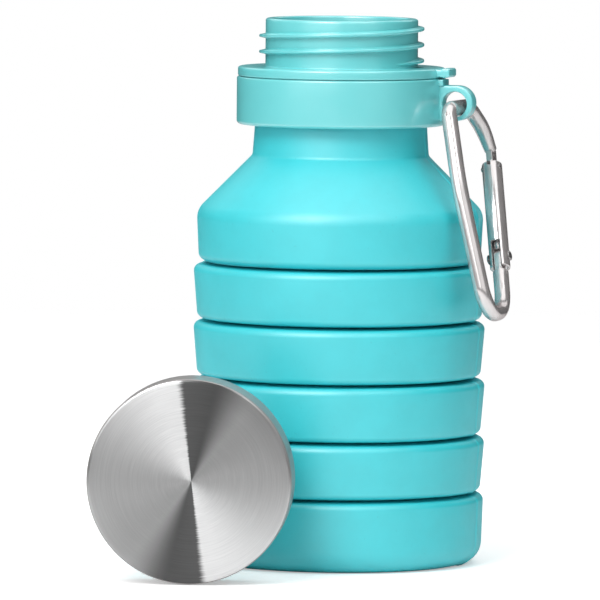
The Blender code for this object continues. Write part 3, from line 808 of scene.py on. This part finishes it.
def swept_bar(name, path, section, tips, taper, material, matrix):
    """A bar along a path in the XZ plane.

    tips gives each end's rings, as (along, in-plane scale, thickness scale). Towards its last end the bar
    narrows, over taper's length and to taper's share of its width.
    """
    left = [0.0]
    for a, b in zip(path[::-1], path[-2::-1]):
        left.append(left[-1] + (b - a).length)
    left = left[::-1]
    stations = []
    for i, point in enumerate(path):
        a, b = path[max(i - 1, 0)], path[min(i + 1, len(path) - 1)]
        near_end = max(0.0, 1.0 - left[i] / taper[0])
        width = 1.0 - (1.0 - taper[1]) * near_end ** 1.5
        stations.append((point, (b - a).normalized(), width, width))
    first, last = stations[0], stations[-1]
    start = [(first[0] - first[1] * s, first[1], u, v) for s, u, v in tips[0]]
    end = [(last[0] + last[1] * s, last[1], u * taper[1], v * taper[1]) for s, u, v in tips[1]]
    stations = start[::-1] + stations + end
    verts = []
    for point, along, u, v in stations:
        side = Vector((-along.y, along.x))
        for p in section:
            place = point + side * p.x * u
            verts.append((place.x, p.y * v, place.y))
    return make_object(name, verts, tube_faces(len(stations), len(section)), material, matrix, sharp=50)


def build_carabiner(metal, pin_steel):
    hanging, at_gate, rivet, direction = carabiner_matrices()
    path = filleted([
        (*(rivet - direction * 4.1), 0),
        (*FOOT_GATE_SIDE, 10.0),
        (*FOOT_SPINE_SIDE, 6.5),
        (*SPINE_BOW, 40.0),
        (*SPINE_TOP, 4.0),
        (*TOP_BEND, 10.0),
        (*NOSE_CORNER, 12.0),
        (*NOSE_TIP, 0),
    ], 32, closed=False)
    shoulder = [(0.25, 0.97, 0.93), (0.9, 0.9, 0.6), (1.2, 0.84, 0.5)]
    nose = [(0.0, 0.99, 0.99), (0.12, 0.95, 0.95)]
    bar = swept_bar("bar", path, bar_section(), (shoulder, nose), (8.0, 0.8), metal, hanging)
    tongue = rounded_plate("tongue", resampled(filleted([
        (-TONGUE_RADIUS, -5.4, 0.2),
        (TONGUE_RADIUS, -5.4, 0.2),
        (TONGUE_RADIUS, TONGUE_RADIUS, TONGUE_RADIUS * 0.98),
        (-TONGUE_RADIUS, TONGUE_RADIUS, TONGUE_RADIUS * 0.98),
    ], 10), 96), [Vector((0, -1))], 1.8, 0.18, metal, at_gate)
    claw_bottom = GATE_TOP - 3.7
    claw_top = (NOSE_TIP - rivet).dot(direction) + 0.6
    claw = rounded_plate("claw", resampled(filleted([
        (-1.5, claw_top, 0.2),
        (-1.5, GATE_TOP + 0.4, 0.3),
        (-0.1, GATE_TOP - 0.2, 0.2),
        (-0.1, claw_bottom + 1.3, 0.2),
        (-1.2, claw_bottom + 1.1, 0.15),
        (-1.0, claw_bottom, 0.3),
        (1.4, claw_bottom, 0.5),
        (1.9, GATE_TOP + 0.4, 0.5),
        (1.9, claw_top, 0.2),
    ], 4), 120), [Vector((0.9, GATE_TOP))], 1.6, 0.1, metal, at_gate)
    body = upright(joined("carabiner_body", [bar, tongue, claw]))
    settle(body, "carabiner", "carabiner_alloy", "carabiner_bar")
    build_gate(metal, pin_steel, at_gate)


def build_gate(metal, pin_steel, at_gate):
    sleeve = turned("gate_sleeve", [
        (0, GATE_TOP, 0),
        (0, 16.0, 0),
        (1.7, 16.0, 0),
        (1.7, GATE_BOTTOM, 0),
        (GATE_RADIUS, GATE_BOTTOM, 0.25),
        (GATE_RADIUS, GATE_TOP, 0.45),
    ], metal, angles=ring_angles(64), matrix=at_gate, steps=4, longest=40)
    wide = 4 * GATE_RADIUS
    cut(sleeve, [
        slab("fork", (wide, 2.4, 9.0), (0, 0, -0.5), metal, at_gate),
        slab("latch", (wide, 2.2, 9.0), (wide / 2 - 1.7, 0, GATE_TOP), metal, at_gate),
        slab("notch", (wide, 0.9, 2.4), (0, 0, GATE_TOP), metal, at_gate),
    ], 0.1)
    settle(sleeve, "gate", "carabiner_alloy", "carabiner_gate")
    crosswise = Matrix.Rotation(math.pi / 2, 4, "X")
    for name, node, body, radius, head, at in (
        ("gate_rivet_pin", "gate_rivet", "carabiner", 0.75, 1.3, (0, 0)),
        ("latch_cross_pin", "gate_latch_pin", "gate", 0.5, 0.62, (-0.9, GATE_TOP - 1.5)),
    ):
        half = GATE_RADIUS + (0.12 if body == "carabiner" else -0.25)
        dome = 0.5 if body == "carabiner" else 0.3
        ends = []
        for k in range(6):
            a = math.pi / 2 * k / 5
            ends.append((head * math.sin(a), half + dome * math.cos(a), 0))
        outline = [*ends, (radius, half, 0), (radius, -half, 0), *[(r, -z, 0) for r, z, _ in ends[::-1]]]
        matrix = at_gate @ Matrix.Translation((at[0] * MM, 0, at[1] * MM)) @ crosswise
        pin = turned(name, outline, pin_steel, angles=ring_angles(32), matrix=matrix, longest=9)
        settle(pin, body, "pin_steel", node)
    plunger = turned("plunger", [
        (0, 1.95, 0), (1.15, 1.95, 0.4), (1.4, 2.95, 0.2), (1.4, 5.95, 0.1), (0, 5.95, 0),
    ], pin_steel, angles=ring_angles(32), matrix=at_gate, steps=3, longest=9)
    settle(plunger, "gate", "pin_steel", "gate_plunger")
    build_spring(pin_steel, at_gate)


def build_spring(pin_steel, at_gate):
    """The coil spring inside the gate."""
    wire, coil, turns, low, high = 0.22, 1.08, 7, 6.47, 15.48
    per_turn, sides = 24, 10
    count = turns * per_turn
    slope = (high - low) / (turns * math.tau)
    verts = []
    for k in range(count + 1):
        angle = math.tau * k / per_turn
        centre = Vector((coil * math.cos(angle), coil * math.sin(angle), low + slope * angle))
        out = Vector((math.cos(angle), math.sin(angle), 0))
        along = Vector((-coil * math.sin(angle), coil * math.cos(angle), slope)).normalized()
        side = along.cross(out)
        for j in range(sides):
            a = math.tau * j / sides
            verts.append(centre + out * wire * math.cos(a) + side * wire * math.sin(a))
    spring = make_object("coil_spring", verts, tube_faces(count + 1, sides), pin_steel, at_gate)
    settle(spring, "gate", "pin_steel", "gate_spring")


# ---------------------------------------------------------------- studio


def build_floor():
    """A pale disc that fades into the white surroundings."""
    look = Look("studio_floor", Base_Color=(0.9, 0.9, 0.9, 1), Emission_Color=(1, 1, 1, 1))
    look.feed("Roughness", look.spread(look.noise(20.0), 0.55, 0.65))
    x, y, _ = look.node("ShaderNodeSeparateXYZ", (("Vector", look.place),)).outputs
    look.feed("Alpha", look.spread(look.length(x, y), 1.0, 0.0, *FLOOR_FADE))
    path = look.node("ShaderNodeLightPath")
    look.feed("Emission Strength", look.maths("MULTIPLY", path.outputs["Is Camera Ray"], FLOOR_GLOW))
    count, rings, height = 96, (1, 120, 400, 900), -0.05
    angles = [math.tau * k / count for k in range(count)]
    verts = [(r * math.cos(a), r * math.sin(a), height) for r in rings for a in angles]
    faces = grid_faces(len(rings), count, False, True)
    faces.append(list(range(count)))
    make_object("floor", verts, faces, look.material)


def soft_light(name, place, aim, size, radiance):
    """A rectangular softbox of that radiance."""
    data = bpy.data.lights.new(name, "AREA")
    data.shape = "RECTANGLE"
    data.size, data.size_y = size
    data.energy = radiance * math.pi * size[0] * size[1]
    light = bpy.data.objects.new(name, data)
    light.visible_camera = False
    bpy.context.scene.collection.objects.link(light)
    light.matrix_world = looking(Vector(place), Vector(aim))


def wall_light(name, azimuth, half_width, radiance):
    """One wall of a light tent: upright, at an azimuth from the camera's side, positive to the right."""
    angle = math.radians(azimuth)
    place = (WALL_DISTANCE * math.sin(angle), -WALL_DISTANCE * math.cos(angle), WALL_MIDDLE)
    width = 2 * WALL_DISTANCE * math.tan(math.radians(half_width))
    soft_light(name, place, (0, 0, WALL_MIDDLE), (width, WALL_HEIGHT), radiance)


def looking(place, aim, roll=0.0):
    """A camera's or light's matrix, looking from a place at a point."""
    turn = (aim - place).to_track_quat("-Z", "Y").to_matrix().to_4x4()
    return Matrix.Translation(place) @ turn @ Matrix.Rotation(roll, 4, "Z")


def build_world():
    """White for the camera, and a soft grey room for light and reflections."""
    world = bpy.data.worlds.new("studio")
    bpy.context.scene.world = world
    world.use_nodes = True
    tree = world.node_tree
    room = tree.nodes["Background"]
    backdrop = tree.nodes.new("ShaderNodeBackground")
    backdrop.inputs["Color"].default_value = (1, 1, 1, 1)
    room.inputs["Color"].default_value = (1, 1, 1, 1)
    room.inputs["Strength"].default_value = ROOM
    path = tree.nodes.new("ShaderNodeLightPath")
    mix = tree.nodes.new("ShaderNodeMixShader")
    tree.links.new(path.outputs["Is Camera Ray"], mix.inputs[0])
    tree.links.new(room.outputs[0], mix.inputs[1])
    tree.links.new(backdrop.outputs[0], mix.inputs[2])
    tree.links.new(mix.outputs[0], tree.nodes["World Output"].inputs["Surface"])


def build_studio():
    build_floor()
    build_world()
    for wall in WALLS:
        wall_light(*wall)
    for box in SOFTBOXES:
        soft_light(*box)
    camera = bpy.data.cameras.new("camera")
    camera.sensor_width = SENSOR_WIDTH
    camera.lens = FOCAL_LENGTH
    camera.clip_start, camera.clip_end = 0.05, 50.0
    obj = bpy.data.objects.new("camera", camera)
    bpy.context.scene.collection.objects.link(obj)
    obj.matrix_world = looking(CAMERA_PLACE, CAMERA_AIM, CAMERA_ROLL)
    scene = bpy.context.scene
    scene.camera = obj
    scene.view_settings.view_transform = "Standard"
    scene.view_settings.look = "None"


def main():
    silicone = silicone_look()
    plastic = plastic_look()
    steel = cap_steel_look()
    metal = polished_look("satin_alloy", (0.79, 0.75, 0.745), 0.18, 0.72)
    pin_steel = polished_look("bright_steel", (0.42, 0.41, 0.41), 0.18, 0.8)
    build_base(silicone)
    for number in range(1, PLEATS):
        build_band(number, silicone)
    for number in range(1, PLEATS + 1):
        build_web(number, silicone)
    build_shoulder(silicone)
    build_neck(plastic)
    build_collar(plastic)
    build_cap(steel, plastic, gasket_look())
    build_carabiner(metal, pin_steel)
    build_studio()


main()
